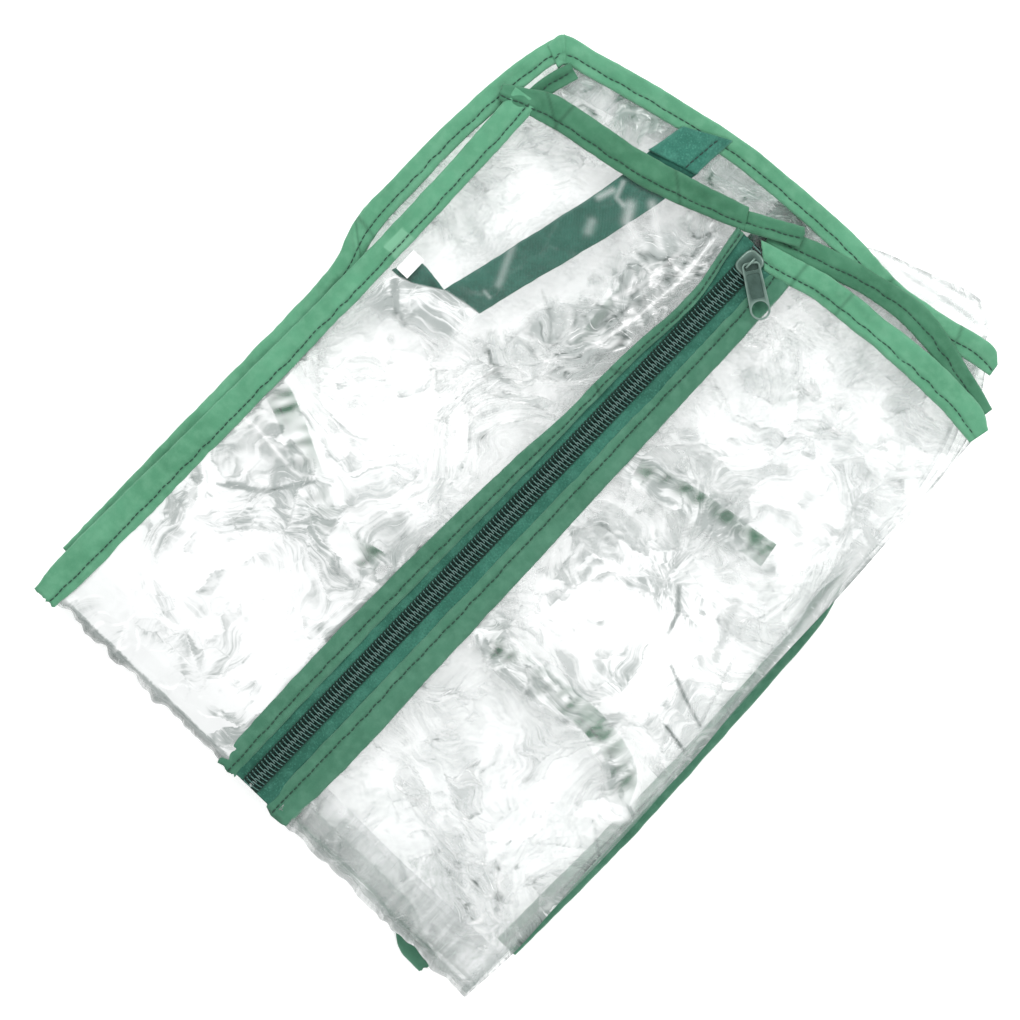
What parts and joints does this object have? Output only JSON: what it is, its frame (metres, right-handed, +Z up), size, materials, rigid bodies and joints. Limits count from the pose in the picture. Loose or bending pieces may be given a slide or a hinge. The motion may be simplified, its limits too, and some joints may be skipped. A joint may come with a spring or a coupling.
{
  "type": "mini greenhouse cover",
  "caption": "Folded clear film cover of a small greenhouse: rectangular packet in folded leaves, green bound seams, a zipped door with slider and pull tab, and a tie strap.",
  "frame": {"origin": "centre of the packet's outline, on the surface it lies on", "axes": "+Y along the zip towards the closed slider, +X to the right of the zip seen from above, +Z up through the leaves"},
  "size_m": [0.317, 0.442, 0.0229],
  "materials": {
    "clear_film": "crumpled clear soft plastic film, gloss",
    "bias_binding": "woven bias binding, matt",
    "zip_tape": "woven zip tape, matt",
    "zip_coil": "nylon coil, satin",
    "painted_metal": "painted die casting, satin",
    "webbing": "fuzzy woven webbing, matt",
    "label": "plain woven label, matt"
  },
  "bodies": {
    "bottom_leaf": {"back_panel_foot": "clear_film", "door_panel_foot": "clear_film", "front_left_panel_foot": "clear_film", "zip_tapes_foot": "zip_tape", "zip_chain_foot": "zip_coil", "zip_bottom_stop": "painted_metal", "hem_binding": "bias_binding", "rear_right_seam_binding": "bias_binding"},
    "middle_leaf": {"front_left_panel_middle": "clear_film", "door_panel_middle": "clear_film", "back_panel_middle": "clear_film", "zip_chain_middle": "zip_coil", "zip_tapes_middle": "zip_tape", "cross_binding_upper": "bias_binding", "cross_binding_lower": "bias_binding", "cross_binding_left": "bias_binding"},
    "front_leaf": {"back_panel_top": "clear_film", "front_left_panel": "clear_film", "door_panel": "clear_film", "rear_left_seam_binding": "bias_binding", "roof_rear_binding": "bias_binding", "roof_left_binding": "bias_binding", "roof_front_binding": "bias_binding", "inner_seam_binding": "bias_binding", "left_seam_binding": "bias_binding", "front_top_binding": "bias_binding", "door_top_binding": "bias_binding", "zip_left_binding": "bias_binding", "zip_right_binding": "bias_binding", "roof_tab_binding": "bias_binding", "zip_tape_left": "zip_tape", "zip_tape_right": "zip_tape", "zip_coil_left": "zip_coil", "zip_coil_right": "zip_coil", "tie_strap_root": "webbing", "tie_strap": "webbing", "care_label": "label"},
    "slider": {"slider_body": "painted_metal", "slider_bridge": "painted_metal"},
    "pull_tab": {"pull_tab": "painted_metal"},
    "strap_end": {"tie_strap_end": "webbing"}
  },
  "joints": [
    {"name": "middle_leaf_unfold", "type": "hinge", "parent": "bottom_leaf", "child": "middle_leaf", "pos_m": [0, 0.2225, 0.0116], "axis": [-1, 0, 0], "range_deg": [0, 180]},
    {"name": "front_leaf_unfold", "type": "hinge", "parent": "middle_leaf", "child": "front_leaf", "pos_m": [0, -0.2175, 0.0116], "axis": [1, 0, 0], "range_deg": [0, 180]},
    {"name": "slider_slide", "type": "slide", "parent": "front_leaf", "child": "slider", "axis": [0, -1, 0], "range_m": [0, 0.34]},
    {"name": "pull_tab_flip", "type": "hinge", "parent": "slider", "child": "pull_tab", "pos_m": [0, 0.151, 0.021], "axis": [-0.5621, -0.8271, 0], "range_deg": [0, 175]},
    {"name": "strap_lift", "type": "hinge", "parent": "front_leaf", "child": "strap_end", "pos_m": [-0.063, 0.16035, 0.0145], "axis": [0.9611, 0.2761, 0], "range_deg": [0, 85]}
  ]
}
